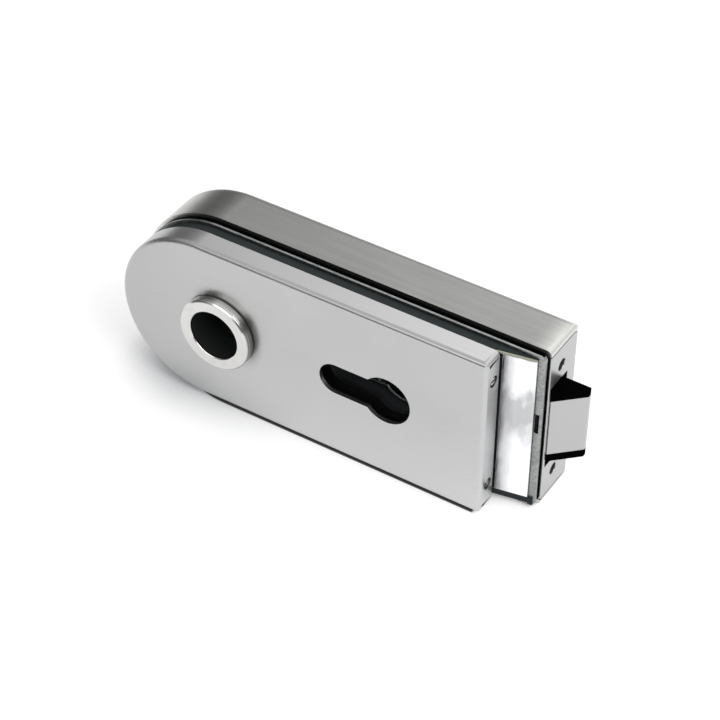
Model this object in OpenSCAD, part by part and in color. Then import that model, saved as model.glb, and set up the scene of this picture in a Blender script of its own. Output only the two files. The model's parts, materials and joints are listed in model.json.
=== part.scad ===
// Patch lock for a frameless glass door: a handle hub, a profile cylinder cut-out and a bevelled latch
// X runs from the hub axis to the latch, Y from the room side into the lock, Z up the door
// The origin is on the hub axis, in the plane where the front cover's rim ends

/* [Case] */
// Height of the rear case cover
case_h = 65; // [64:0.5:70]
// Depth of the rear case cover
case_depth = 18.2; // [17.6:0.2:20]
// Sheet thickness of the rear case cover
case_sheet = 1.2; // [1:0.1:1.4]
// Thickness of the case cover's rim above and below the forend
case_rim = 2.2; // [1.8:0.1:2.4]
// Rounding of the case cover's back edge
case_edge_r = 4; // [3:0.5:5]
// Distance from the hub axis back to the centre of the round end
round_c = 7.9; // [5.9:0.5:9.9]
// Distance from the hub axis to the forend face
hub_to_forend = 113.5; // [112.5:0.5:120]
// Thickness of the forend plate
forend_t = 2.2; // [1.8:0.1:2.6]
// Wall thickness of the cast chassis
cast_wall = 2.2; // [1.8:0.1:2.6]
// Thickness of the chassis' back plate
floor_t = 2; // [1.8:0.1:2.2]
// Thickness of the chassis wall behind the forend
end_wall_t = 5; // [4:0.5:6]

/* [Front cover] */
// How far the front cover and the lid lie inside the case cover's outline
front_inset = 1; // [0.8:0.1:1.6]
// Depth of the front cover
front_depth = 8; // [7.8:0.2:11]
// Sheet thickness of the front cover
front_sheet = 1.5; // [1.2:0.1:1.6]
// Rounding of the front cover's front edge
front_edge_r = 1.8; // [1.6:0.1:2.4]
// Distance from the forend face back to the front cover's end
front_setback = 14; // [13.5:0.5:16]
// Thickness of the fixing plate inside the front cover
base_t = 1.6; // [1.2:0.1:1.8]

/* [Layers between the covers] */
// Thickness of the rubber gasket
gasket_t = 4.4; // [4:0.1:5]
// How far the gasket lies inside the lid's outline
gasket_inset = 1.1; // [0.6:0.1:1.4]
// Thickness of the case lid
lid_t = 0.8; // [0.6:0.1:1]
// Distance from the forend face back to the lid's folded lip
lip_setback = 0.8; // [0.6:0.1:1.2]
// Depth of the lid's folded lip
lip_depth = 1.8; // [1.6:0.1:2.4]
// Thickness of the seal between lid and case cover
seal_t = 2; // [1.6:0.1:2.4]
// How far the seal lies inside the lid's outline
seal_inset = 0.9; // [0.6:0.1:1.1]

/* [Nose] */
// Depth of the nose plate's front edge behind the front cover's rim
nose_y0 = 1; // [0.6:0.1:1.4]
// How far the nose plate reaches in under the front cover's end
nose_under = 2.3; // [2:0.1:3]
// Distance from the nose plate's back edge to the lid's lip
nose_gap = 2.2; // [1.8:0.1:3]
// Depth of the nose plate's back edge before the lid's face
nose_rise = 0.9; // [0.8:0.1:1.2]
// Thickness of the nose plate
nose_plate_t = 0.7; // [0.5:0.1:0.8]
// How far the nose plate's upper end lies inside the gasket's outline
nose_inset = 0.2; // [0.1:0.1:1]
// How far the nose plate's lower end lies inside the gasket's outline
nose_low = 3; // [2.9:0.1:4]

/* [Handle rings] */
// Outer diameter of a handle ring
ring_d = 27.2; // [26:0.2:30]
// Height of a handle ring above its cover
ring_h = 3.7; // [3:0.1:5]
// Bore of a handle ring and of its liner
ring_bore = 18.4; // [18.1:0.1:19]
// Wall thickness of the liner in a ring
liner_t = 0.8; // [0.6:0.1:0.9]
// Diameter of the ring's neck where it passes through the cover
neck_d = 21.8; // [21.6:0.1:22]

/* [Profile cylinder cut-out] */
// Distance from the forend face back to the centre of the cut-out's round part
cyl_backset = 49.5; // [48.5:0.5:52]
// Radius of the cut-out's round part
cyl_r = 9; // [8.6:0.1:9.4]
// Width of the cut-out's slot
cyl_slot_w = 11.8; // [11:0.1:12]
// Overall length of the cut-out
cyl_len = 34; // [33:0.5:35]

/* [Latch] */
// Height of the latch's steel face
latch_h = 22.4; // [21:0.2:23]
// Thickness of each nylon cap on the latch
cap_t = 2.95; // [2.5:0.05:3.2]
// Distance from the latch's flat side back to the back plate
latch_from_floor = 3.7; // [3.3:0.1:4]
// Distance from the front of the case lid to the latch's front side
latch_from_lid = 4.4; // [4.2:0.1:4.8]
// How far the latch stands out of the forend
latch_throw = 9; // [8.2:0.1:9.4]
// Width of the flat at the latch's tip
latch_tip = 1.3; // [1:0.1:2]
// Thickness of the latch's slide plate
slide_t = 2; // [1.6:0.1:2.2]
// Width of the slide plate's long bar
slide_w = 4.5; // [4:0.1:4.8]

/* [Follower and change lever] */
// Side of the follower's square spindle hole
spindle_w = 8.1; // [8:0.05:8.3]
// Radius of the follower's bearing barrel
barrel_r = 8.9; // [8.6:0.05:9]
// Wall thickness of the follower's bushes
bush_wall = 2; // [1.5:0.1:2.2]
// Thickness of the bushes' flanges
bush_flange_t = 1; // [0.8:0.1:1.2]
// Distance from the hub axis to the centre of the follower's arm tip
arm_r = 15.6; // [15.2:0.1:16]
// Radius of the follower's arm tip
tip_r = 2.5; // [2.3:0.1:2.6]
// Thickness of the follower's arms and of the change lever
arm_t = 5; // [4.6:0.1:5.2]
// Distance from the latch spring's stop back to the change lever's pin
lever_back = 6.4; // [6.2:0.1:6.8]
// Height of the change lever's pin, below the hub axis
lever_drop = 4; // [3.6:0.1:4.2]
// Radius of the change lever's pin
pin_r = 2.5; // [2.2:0.1:2.6]
// Distance from the lever's pin to its upper tip
lever_r = 19; // [18.6:0.1:19.2]

/* [Springs] */
// Wire diameter of the coil springs
wire_d = 0.8; // [0.6:0.1:0.9]
// Mean radius of the latch spring and of the follower spring
coil_r = 2.6; // [2.4:0.1:2.7]
// Turns of the latch spring and of the follower spring
coil_turns = 8; // [6:1:9]

/* [Screws] */
// Nominal diameter of the clamping and forend screws
clamp_d = 4; // [3.5:0.5:4]
// Nominal diameter of the lid and cover screws
small_d = 3; // [2.5:0.5:3]
// Nominal diameter of the cylinder fixing screw
fix_d = 5; // [4:0.5:5]
// Depth of the lid screws in the chassis
lid_screw_len = 7; // [6:0.5:8]

/* [Clearances] */
// Radial clearance of a turning fit
run_gap = 0.06; // [0.03:0.01:0.1]
// Clearance between pieces that are seated in each other
seat_gap = 0.1; // [0.05:0.05:0.15]
// Clearance beside a sliding or swinging piece
slide_gap = 0.3; // [0.25:0.05:0.35]
// Play between a turning arm's tip and the lug that it pushes
start_gap = 0.4; // [0.3:0.1:0.5]

/* [Hidden] */
$fn = 64;

// Overshoot of a cutting tool past the face that it cuts
over = 1;

// Depths of the layers, from the room side to the back
lid_y = gasket_t;
cast_y = lid_y + lid_t;
case_y = cast_y + seal_t;
back_y = case_y + case_depth;
cast_back_y = back_y - case_sheet;
floor_y = cast_back_y - floor_t;
front_y = -front_depth;
front_in_y = front_y + front_sheet;

// Outlines: each plate is a round end of this radius and a straight run
case_r = case_h / 2;
cast_r = case_r - case_sheet - seat_gap;
room_r = cast_r - cast_wall;
front_r = case_r - front_inset;
front_in_r = front_r - front_sheet;
base_r = front_in_r - seat_gap;
lid_r = front_r;
gasket_r = lid_r - gasket_inset;
seal_r = lid_r - seal_inset;
seal_w = 0.85;
rebate_r = seal_r - seal_w;

// Ends of the plates along X
cast_x = hub_to_forend - forend_t;
room_x = cast_x - end_wall_t;
front_x = hub_to_forend - front_setback;
front_in_x = front_x - front_sheet;
cyl_x = hub_to_forend - cyl_backset;

// The lid ends in a folded lip just short of the forend face, with the seal's bar behind it
lid_x = hub_to_forend - lip_setback;
fold_r = 1.2;
seal_bar_proud = 0.2;
seal_x = lid_x + seal_bar_proud;
end_corner_r = 2;
notch_w = 1.4;
notch_z = [0.2, 8];

// Nose between the front cover and the lid's lip, with a sloping polished plate on it
nose_x0 = front_x - nose_under;
nose_x1 = lid_x - nose_gap;
nose_y1 = lid_y - nose_rise;
nose_top_z = gasket_r - nose_inset;
nose_low_z = nose_low - gasket_r;
nose_foot_h = 2.8;
nose_foot_t = 0.6;
nose_foot_gap = 0.4;

// Holes round the hub axis
bush_flange_w = 1.5;
neck_r = neck_d / 2;
bore_r = ring_bore / 2;
liner_r = bore_r + liner_t;
cover_hole_r = neck_r + seat_gap;
bush_r = barrel_r + bush_wall;
bush_flange_r = bush_r + bush_flange_w;
lip_t = 1;
clip_t = 1;
clip_depth = 0.5;
clip_w = 1.6;

// Latch: steel core between two nylon caps, with its flat side at the back
latch_y0 = lid_y + latch_from_lid;
latch_y1 = floor_y - latch_from_floor;
latch_x1 = hub_to_forend + latch_throw;
cap_z = latch_h / 2 + cap_t;
latch_shoulder = 5;
latch_neck_x = room_x - slide_gap;
latch_x0 = latch_neck_x - latch_shoulder;
slide_step = 0.8;
slide_y = latch_y1 - slide_step;
spring_play = 0.2;
latch_bore_r = coil_r + wire_d / 2 + spring_play;
latch_bore_depth = 9.5;
spring_in = 4.7;
spring_z = latch_h / 2 - spring_in;
rivet_r = 1.2;
rivet_len = 4;
rivet_head_w = 0.7;
rivet_head_t = 0.6;
rivet_in = 2.8;
rivet_z = [-spring_in / 2, rivet_in - latch_h / 2];
cap_proud = 0.15;
window_play = 0.4;
window_end = 2.4;
window_z = cap_z + window_end;
window_y0 = latch_y0 - window_play;
window_y1 = latch_y1 + window_play;

// Clamping screws stand just inside the front cover's rim
clamp_r = clamp_d / 2;
clamp_head_w = 1.4;
clamp_head_r = clamp_r + clamp_head_w;
clamp_head_h = 2.6;
clamp_edge = 0.6;
post_wall = 0.9;
post_r = clamp_r + post_wall;
clamp_end_in = 11.5;
clamp_x = [20, front_x - clamp_end_in];
clamp_z = front_in_r - clamp_edge - clamp_head_r;

// The slide's long bar passes below the clamping screws' posts
slide_clear = 2.6;
slide_z = clamp_z - post_r - slide_clear - slide_w;

// Follower shoulders run between the bush flanges, and everything that turns lies in one plane
arm_clear = 0.8;
arm_waist = 1.1;
arm_y = slide_y - arm_clear - arm_t;
shoulder_gap = 0.3;
front_shoulder_r = bush_r + 0.1;
rear_shoulder_r = barrel_r + bush_flange_w;
lug_w = 2.5;
lug_z = rear_shoulder_r + spring_play;
slide_x0 = -tip_r - start_gap - lug_w;

// Stops for the springs, and the arm that the follower's spring pushes
spring_arm_r = 14.5;
spring_pad_w = 3;
follower_stop_x = 23;
stop_w = 2.4;
stop_half = 3.2;
stop_front = 1.5;
stop_gap = 0.6;
latch_stop_x = latch_x0 - latch_throw - stop_gap;

// Change lever and its boss
lever_x = latch_stop_x - lever_back;
lever_lug_x1 = lever_x - tip_r - start_gap;
lever_z = -lever_drop;
lever_boss_r = 5.4;
pin_boss_r = 5;
pin_end = 0.6;
lever_low = [-1, -10];
torsion_r = 3.6;
torsion_turns = 3;

// Places and heads of the other screws, as [x, z]
small_r = small_d / 2;
small_head_w = 1.3;
small_head_r = small_r + small_head_w;
lid_boss_r = 3;
lid_arc_r = room_r - lid_boss_r + clamp_edge;
lid_screw_in = 3.8;
lid_screw_at = [
    for (s = [-1, 1]) each [
        [-round_c - lid_arc_r * cos(45), s * lid_arc_r * sin(45)],
        [room_x - lid_screw_in, s * lid_arc_r]
    ]
];
cover_screw_rise = 0.9;
cover_screw_y = (front_in_y - base_t) / 2 + cover_screw_rise;
cover_screw_in = 8.3;
cover_screw_z = front_in_r - cover_screw_in;
cover_screw_sink = 0.2;
cover_screw_gap = 0.6;
cover_lug = 7;
cover_lug_t = 5;
forend_screw_rise = 1.6;
forend_screw_y = (case_y + back_y) / 2 - forend_screw_rise;
forend_screw_out = 10.9;
forend_screw_z = latch_h / 2 + forend_screw_out;
forend_sink = 1.7;

// The cylinder's fixing screw stands beside the cut-out's round part
fix_r = fix_d / 2;
fix_back = 17.5;
fix_x = cyl_x - fix_back;
fix_y = (floor_y + cast_y) / 2;
fix_boss_wall = 2.5;
fix_boss_r = fix_r + fix_boss_wall;
fix_boss_z = -14;
fix_head_w = 1.6;
fix_head_r = fix_r + fix_head_w;
fix_head_h = 3;
fix_sink = 1.6;

// Clearance of a cut round the profile cylinder behind the front cover
profile_gap = 0.4;

// Section of a plate, outward from the middle and through its thickness, with rounded rims
module half_section(w, y0, y1, e0 = 0, e1 = 0) {
    translate([0, y0 + e0]) square([w, y1 - y0 - e0 - e1]);
    if (e0 > 0) {
        translate([0, y0]) square([w - e0, e0]);
        translate([w - e0, y0 + e0]) circle(e0);
    }
    if (e1 > 0) {
        translate([0, y1 - e1]) square([w - e1, e1]);
        translate([w - e1, y1 - e1]) circle(e1);
    }
}

// Straight bar along X with the section of a plate
module section_bar(r, x0, x1, y0, y1, e0 = 0, e1 = 0) {
    translate([x0, 0, 0]) rotate([0, 90, 0]) linear_extrude(x1 - x0) {
        half_section(r, y0, y1, e0, e1);
        mirror([1, 0]) half_section(r, y0, y1, e0, e1);
    }
}

// Plate with a round end about the hub side and a straight run to x1
module end_plate(r, x1, y0, y1, e0 = 0, e1 = 0) {
    translate([-round_c, 0, 0]) rotate([-90, 0, 0])
        rotate_extrude(angle = 180, start = 90) half_section(r, y0, y1, e0, e1);
    section_bar(r, -round_c, x1, y0, y1, e0, e1);
}

// Keeps what lies inside a straight run's outline, with its corners at x1 rounded
module rounded_end(r, x1) {
    intersection() {
        children();
        flat_piece(-case_depth, 2 * case_depth) {
            translate([-case_h, -r]) square([case_h + x1 - end_corner_r, 2 * r]);
            translate([-case_h, end_corner_r - r]) square([case_h + x1, 2 * (r - end_corner_r)]);
            for (s = [-1, 1])
                translate([x1 - end_corner_r, s * (r - end_corner_r)]) circle(end_corner_r);
        }
    }
}

// Cylinder along Y between two depths
module y_rod(r, y0, y1, x = 0, z = 0) {
    translate([x, y0, z]) rotate([-90, 0, 0]) cylinder(r = r, h = y1 - y0);
}

// Cylinder along X between two places
module x_rod(r, x0, x1, y = 0, z = 0) {
    translate([x0, y, z]) rotate([0, 90, 0]) cylinder(r = r, h = x1 - x0);
}

// Turned piece about the hub axis from a section of radius and depth
module turned() {
    rotate([-90, 0, 0]) rotate_extrude() children();
}

// Flat piece in the plane of the door, from an outline in x and z
module flat_piece(y0, y1) {
    translate([0, y1, 0]) rotate([90, 0, 0]) linear_extrude(y1 - y0) children();
}

// Outline of the cylinder cut-out, grown by a clearance
module profile_outline(grow = 0) {
    slot_r = cyl_slot_w / 2 + grow;
    slot_end = cyl_x + cyl_r - cyl_len + cyl_slot_w / 2;
    translate([cyl_x, 0]) circle(cyl_r + grow);
    translate([slot_end, 0]) circle(slot_r);
    translate([slot_end, -slot_r]) square([cyl_x - slot_end, 2 * slot_r]);
}

// Cutter for the cylinder cut-out
module profile_cut(y0, y1, grow = 0) {
    flat_piece(y0 - over, y1 + over) profile_outline(grow);
}

// Turned section of a handle ring: a chamfered head with a fine groove, and a neck
module ring_section(neck_end) {
    head_r = ring_d / 2;
    chamfer = 0.6;
    groove = 0.25;
    groove_at = 1.1;
    difference() {
        union() {
            polygon([
                [bore_r + chamfer / 2, -ring_h], [head_r - chamfer, -ring_h], [head_r, -ring_h + chamfer],
                [head_r, 0], [liner_r, 0], [liner_r, -ring_h + lip_t],
                [bore_r, -ring_h + lip_t], [bore_r, -ring_h + chamfer / 2]
            ]);
            translate([liner_r, 0]) square([neck_r - liner_r, neck_end]);
        }
        translate([head_r - groove, -ring_h + groove_at]) square([groove + over, groove]);
    }
}

// Coil spring along X, from the origin, with round wire
module coil_spring(r, wire, turns, length) {
    steps = turns * 14;
    sides = 8;
    run = length - wire;
    points = [
        for (i = [0:steps], j = [0:sides - 1])
            let (t = 360 * turns * i / steps, a = 360 * j / sides, u = r + wire / 2 * cos(a))
            [wire / 2 + run * i / steps + wire / 2 * sin(a), u * cos(t), u * sin(t)]
    ];
    faces = concat(
        [[for (j = [0:sides - 1]) j]],
        [for (i = [0:steps - 1], j = [0:sides - 1])
            let (a = i * sides + j, b = i * sides + (j + 1) % sides)
                each [[a, a + sides, b], [b, a + sides, b + sides]]],
        [[for (j = [sides - 1:-1:0]) steps * sides + j]]
    );
    polyhedron(points, faces);
}

// Front cover: a folded cap with a round end, open at the back
module front_cover() {
    slit_w = [1.2, 0.2];
    color([0.75, 0.75, 0.74]) difference() {
        rounded_end(front_r, front_x) intersection() {
            end_plate(front_r, front_x + over, front_y, 0, e0 = front_edge_r);
            linear_extrude(2 * front_r + over, center = true) translate([-case_h, 0])
                half_section(front_x + case_h, front_y, 0, e0 = front_edge_r);
        }
        end_plate(front_in_r, front_in_x, front_in_y, over, e0 = front_edge_r - front_sheet + seat_gap);
        y_rod(cover_hole_r, front_y - over, 0);
        profile_cut(front_y, 0);
        for (s = [-1, 1]) {
            x_rod(small_r + cover_screw_gap, front_in_x - over, front_x + over,
                cover_screw_y, s * cover_screw_z);
            translate([front_in_x - seat_gap, 0, 0]) rotate([0, 90, 0]) linear_extrude(front_sheet + over)
                polygon([
                    [s * front_in_r, front_y + front_edge_r],
                    [s * (front_in_r - slit_w[0]), front_y + front_edge_r],
                    [s * (front_in_r - slit_w[1]), over], [s * front_in_r, over]
                ]);
        }
    }
}

// Fixing plate inside the front cover, with two folded lugs for the cover screws
module front_base() {
    color([0.2, 0.2, 0.21]) difference() {
        union() {
            end_plate(base_r, front_in_x - seat_gap, -base_t, 0);
            for (s = [-1, 1])
                translate([
                    front_in_x - seat_gap - cover_lug_t, front_in_y + seat_gap,
                    s * cover_screw_z - cover_lug / 2
                ])
                    cube([cover_lug_t, front_depth - front_sheet - base_t, cover_lug]);
        }
        y_rod(cover_hole_r, -base_t - over, over);
        profile_cut(-base_t, 0, profile_gap);
        for (x = clamp_x, s = [-1, 1]) y_rod(clamp_r + seat_gap, -base_t - over, over, x, s * clamp_z);
        for (s = [-1, 1])
            x_rod(small_r + run_gap, front_in_x - cover_lug_t - over, front_in_x,
                cover_screw_y, s * cover_screw_z);
    }
}

// Ring on the front cover, with a groove for its clip
module front_ring() {
    color([0.82, 0.82, 0.81]) translate([0, front_y, 0]) difference() {
        turned() ring_section(front_depth);
        turned() translate([neck_r - clip_depth, front_sheet]) square([clip_depth + over, clip_t + seat_gap]);
    }
}

// Nylon liner in the front ring
module front_liner() {
    color([0.06, 0.06, 0.06]) translate([0, front_y, 0]) turned()
        translate([bore_r, -ring_h + lip_t]) square([liner_t - 0.02, ring_h - lip_t + front_depth]);
}

// Open clip that holds the front ring behind the cover's sheet
module ring_clip() {
    gape = 50;
    color([0.35, 0.35, 0.36]) translate([0, front_in_y, 0]) rotate([-90, 0, 0])
        rotate_extrude(angle = 360 - gape, start = 90 + gape / 2)
            translate([neck_r - clip_depth + 0.02, seat_gap / 2]) square([clip_depth + clip_w, clip_t]);
}

// Ring on the rear cover
module rear_ring() {
    color([0.82, 0.82, 0.81]) translate([0, back_y, 0]) mirror([0, 1, 0]) turned()
        ring_section(case_sheet - 0.05);
}

// Nylon liner in the rear ring
module rear_liner() {
    color([0.06, 0.06, 0.06]) translate([0, back_y, 0]) mirror([0, 1, 0]) turned()
        translate([bore_r, -ring_h + lip_t]) square([liner_t - 0.02, ring_h - lip_t + case_sheet - 0.05]);
}

// Rear case cover: a drawn cap with a rounded back edge, open at the front and round the forend
module case_cover() {
    color([0.6, 0.6, 0.58]) difference() {
        rounded_end(case_r, hub_to_forend) intersection() {
            end_plate(case_r, hub_to_forend + over, case_y, back_y, e1 = case_edge_r);
            linear_extrude(2 * case_r + over, center = true) translate([-case_h, 0])
                half_section(hub_to_forend + case_h, case_y, back_y, e1 = end_corner_r);
        }
        end_plate(case_r - case_sheet, cast_x + seat_gap, case_y - over, cast_back_y,
            e1 = case_edge_r - case_sheet);
        section_bar(case_r - case_rim, cast_x, hub_to_forend + over, case_y - over, cast_back_y,
            e1 = case_edge_r - case_sheet);
        y_rod(cover_hole_r, cast_back_y - over, back_y + over);
        profile_cut(cast_back_y, back_y);
        translate([fix_x, fix_y, -case_r - over])
            cylinder(r = fix_head_r + slide_gap, h = case_sheet + 2 * over);
    }
}

// Forend plate inside the end of the case cover, with the latch window and two screw holes
module forend_plate() {
    color([0.8, 0.8, 0.79]) difference() {
        section_bar(case_r - case_rim - seat_gap, cast_x, hub_to_forend, case_y, cast_back_y - seat_gap,
            e1 = case_edge_r - case_sheet - seat_gap);
        translate([cast_x - over, window_y0, -window_z])
            cube([forend_t + 2 * over, window_y1 - window_y0, 2 * window_z]);
        for (s = [-1, 1])
            x_rod(clamp_r + seat_gap, cast_x - over, hub_to_forend + over, forend_screw_y, s * forend_screw_z);
    }
}

// Cast block of the chassis, from the lid to the case cover's back
module chassis_block(y0, y1) {
    intersection() {
        union() {
            end_plate(cast_r, cast_x, case_y, cast_back_y, e1 = case_edge_r - case_sheet);
            end_plate(rebate_r, cast_x, cast_y, case_y);
        }
        translate([-case_h, y0, -case_h]) cube([case_h + hub_to_forend, y1 - y0, 2 * case_h]);
    }
}

// Cast chassis: the wall round the mechanism, with the end wall and the bosses of the screws
module lock_chassis() {
    color([0.3, 0.31, 0.31]) difference() {
        union() {
            difference() {
                chassis_block(cast_y, floor_y);
                end_plate(room_r, room_x, cast_y - over, floor_y + over);
            }
            for (p = lid_screw_at) y_rod(lid_boss_r, cast_y, floor_y, p[0], p[1]);
            translate([fix_x, fix_y, -rebate_r]) cylinder(r = fix_boss_r, h = fix_boss_z + rebate_r);
        }
        translate([room_x - over, latch_y0 - slide_gap, -cap_z - slide_gap])
            cube([end_wall_t + 2 * over, latch_y1 - latch_y0 + 2 * slide_gap, 2 * (cap_z + slide_gap)]);
        for (p = lid_screw_at) {
            y_rod(small_r + run_gap, cast_y - over, cast_y + lid_screw_len + over, p[0], p[1]);
            lid_screw_head(p);
        }
        for (s = [-1, 1])
            x_rod(clamp_r + run_gap, room_x - over, cast_x + over, forend_screw_y, s * forend_screw_z);
        translate([fix_x, fix_y, -case_r]) cylinder(r = fix_r + run_gap, h = case_r);
        translate([fix_x, fix_y, -case_r]) cylinder(r = fix_head_r + seat_gap, h = fix_sink + fix_head_h);
    }
}

// Back plate that closes the chassis behind the mechanism
module back_plate() {
    color([0.3, 0.31, 0.31]) difference() {
        chassis_block(floor_y, cast_back_y);
        y_rod(bush_r + seat_gap, floor_y - over, cast_back_y + over);
        profile_cut(floor_y, cast_back_y, profile_gap);
        y_rod(pin_r, floor_y - over, cast_back_y - pin_end, lever_x, lever_z);
    }
}

// Posts on the back plate: tubes for the clamping screws, a seat for the lever's pin, and spring stops
module chassis_posts() {
    color([0.55, 0.55, 0.54]) {
        for (x = clamp_x, s = [-1, 1]) difference() {
            y_rod(post_r, cast_y, floor_y, x, s * clamp_z);
            y_rod(clamp_r + run_gap, cast_y - over, floor_y + over, x, s * clamp_z);
        }
        difference() {
            y_rod(pin_boss_r, arm_y + arm_t + slide_gap, floor_y, lever_x, lever_z);
            y_rod(pin_r, arm_y, floor_y + over, lever_x, lever_z);
        }
        for (stop = [[follower_stop_x, -spring_arm_r], [latch_stop_x - stop_w, spring_z]])
            translate([stop[0], arm_y - stop_front, stop[1] - stop_half])
                cube([stop_w, floor_y - arm_y + stop_front, 2 * stop_half]);
    }
}

// Rubber gasket that lies against the glass
module glass_gasket() {
    color([0.18, 0.21, 0.21]) difference() {
        end_plate(gasket_r, nose_x0 - seat_gap, 0, lid_y);
        y_rod(cover_hole_r + profile_gap, -over, lid_y + over);
        profile_cut(0, lid_y, 2 * profile_gap);
        for (x = clamp_x, s = [-1, 1]) y_rod(clamp_r + slide_gap, -over, lid_y + over, x, s * clamp_z);
    }
}

// Dark wedge under the polished nose plate, with a foot at its lower end
module nose_block() {
    seat = nose_y1 + nose_plate_t;
    foot_y = lid_y - nose_foot_t;
    foot_x = nose_x1 + seat_gap;
    color([0.13, 0.15, 0.15]) {
        linear_extrude(2 * gasket_r, center = true)
            polygon([[nose_x0, lid_y], [nose_x0, nose_y0 + nose_plate_t], [nose_x1, seat], [nose_x1, lid_y]]);
        translate([0, 0, -gasket_r]) linear_extrude(nose_foot_h) polygon([
            [nose_x1 - over, lid_y], [nose_x1 - over, seat], [foot_x, seat], [foot_x, foot_y],
            [lid_x - nose_foot_gap, foot_y], [lid_x - nose_foot_gap, lid_y]
        ]);
    }
}

// Polished plate on the nose, sloping back towards the forend
module nose_plate() {
    color([0.9, 0.9, 0.92]) translate([0, 0, nose_low_z]) linear_extrude(nose_top_z - nose_low_z) polygon([
        [nose_x0, nose_y0], [nose_x1, nose_y1], [nose_x1, nose_y1 + nose_plate_t], [nose_x0, nose_y0 + nose_plate_t]
    ]);
}

// Conical head of a lid screw, which also cuts its seat
module lid_screw_head(p) {
    translate([p[0], lid_y, p[1]]) rotate([-90, 0, 0])
        cylinder(r1 = small_head_r, r2 = small_r, h = small_head_r - small_r);
}

// Lid on the chassis, with a folded and notched lip before the forend
module case_lid() {
    color([0.72, 0.72, 0.7]) difference() {
        rounded_end(lid_r, lid_x) union() {
            end_plate(lid_r, lid_x - fold_r, lid_y, cast_y);
            linear_extrude(2 * lid_r, center = true) translate([lid_x - fold_r, lid_y + fold_r]) {
                intersection() {
                    difference() {
                        circle(fold_r);
                        circle(fold_r - lid_t);
                    }
                    translate([0, -fold_r]) square(fold_r);
                }
                translate([fold_r - lid_t, 0]) square([lid_t, lip_depth - fold_r]);
            }
        }
        y_rod(bush_r + seat_gap, lid_y - over, cast_y + over);
        profile_cut(lid_y, cast_y, profile_gap);
        for (x = clamp_x, s = [-1, 1]) y_rod(clamp_r + seat_gap, lid_y - over, cast_y + over, x, s * clamp_z);
        for (p = lid_screw_at) lid_screw_head(p);
        translate([nose_x1 + 2 * seat_gap, lid_y - over, notch_z[0]])
            cube([notch_w, lid_t + 2 * over, notch_z[1] - notch_z[0]]);
    }
}

// Black seal round the chassis, between the lid and the case cover
module case_seal() {
    color([0.03, 0.03, 0.03]) difference() {
        rounded_end(seal_r, seal_x) union() {
            end_plate(seal_r, cast_x + 2 * seat_gap, cast_y, case_y);
            section_bar(seal_r, cast_x, seal_x, lid_y + lip_depth, case_y);
        }
        end_plate(rebate_r + seat_gap, cast_x + seat_gap, cast_y - over, case_y + over);
    }
}

// Outline of the latch seen along its height, from the chassis to the tip
module latch_outline(proud = 0) {
    polygon([
        [latch_neck_x, latch_y0 - proud], [hub_to_forend + spring_play, latch_y0 - proud],
        [latch_x1, latch_y1 - latch_tip - proud], [latch_x1, latch_y1], [latch_neck_x, latch_y1]
    ]);
}

// Steel core of the latch, bored for its spring
module latch_bolt() {
    color([0.72, 0.71, 0.69]) difference() {
        union() {
            linear_extrude(latch_h, center = true) latch_outline();
            translate([latch_x0, latch_y0, -latch_h / 2])
                cube([latch_neck_x - latch_x0, slide_y - latch_y0, latch_h]);
        }
        x_rod(latch_bore_r, latch_x0 - over, latch_x0 + latch_bore_depth, (latch_y0 + slide_y) / 2, spring_z);
        for (z = rivet_z)
            y_rod(rivet_r, slide_y - rivet_len, slide_y + over, (latch_x0 + latch_neck_x) / 2, z);
    }
}

// Nylon cap on the upper and lower end of the latch
module latch_cap(side) {
    color([0.04, 0.04, 0.04]) translate([0, 0, side * (latch_h + cap_t) / 2])
        linear_extrude(cap_t, center = true) latch_outline(cap_proud);
}

// Slide plate: a long bar above the cylinder, with one lug for the follower and one for the lever
module latch_slide() {
    plate_x = (latch_x0 + latch_neck_x) / 2;
    plate_y = slide_y + slide_t;
    color([0.66, 0.65, 0.6]) difference() {
        union() {
            translate([slide_x0, slide_y, slide_z]) cube([latch_neck_x - slide_x0, slide_t, slide_w]);
            translate([latch_x0, slide_y, -latch_h / 2])
                cube([latch_neck_x - latch_x0, slide_t, slide_z + latch_h / 2]);
            for (x = [slide_x0, lever_lug_x1 - lug_w])
                translate([x, arm_y, lug_z]) cube([lug_w, plate_y - arm_y, slide_z + slide_w - lug_z]);
        }
        for (z = rivet_z) y_rod(rivet_r, slide_y - over, plate_y + over, plate_x, z);
    }
}

// Rivets that join the slide plate to the latch
module latch_rivets() {
    rivet_x = (latch_x0 + latch_neck_x) / 2;
    head_y = slide_y + slide_t;
    color([0.6, 0.6, 0.58]) for (z = rivet_z) {
        y_rod(rivet_r, slide_y - rivet_len, head_y, rivet_x, z);
        y_rod(rivet_r + rivet_head_w, head_y, head_y + rivet_head_t, rivet_x, z);
    }
}

// Spring that pushes the latch out, from its stop into the latch's bore
module latch_spring() {
    color([0.7, 0.7, 0.72]) translate([latch_stop_x, (latch_y0 + slide_y) / 2, spring_z])
        coil_spring(coil_r, wire_d, coil_turns, latch_x0 + latch_bore_depth - latch_stop_x);
}

// Arm in the plane of the door: straight on the side that meets a lug, tapered on the other
module arm_outline(root_w, tip_at) {
    w = norm(tip_at);
    rotate(atan2(tip_at[1], tip_at[0])) {
        polygon([[0, -root_w], [w, -tip_r], [w, tip_r], [0, tip_r]]);
        translate([w, 0]) circle(tip_r);
    }
}

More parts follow.
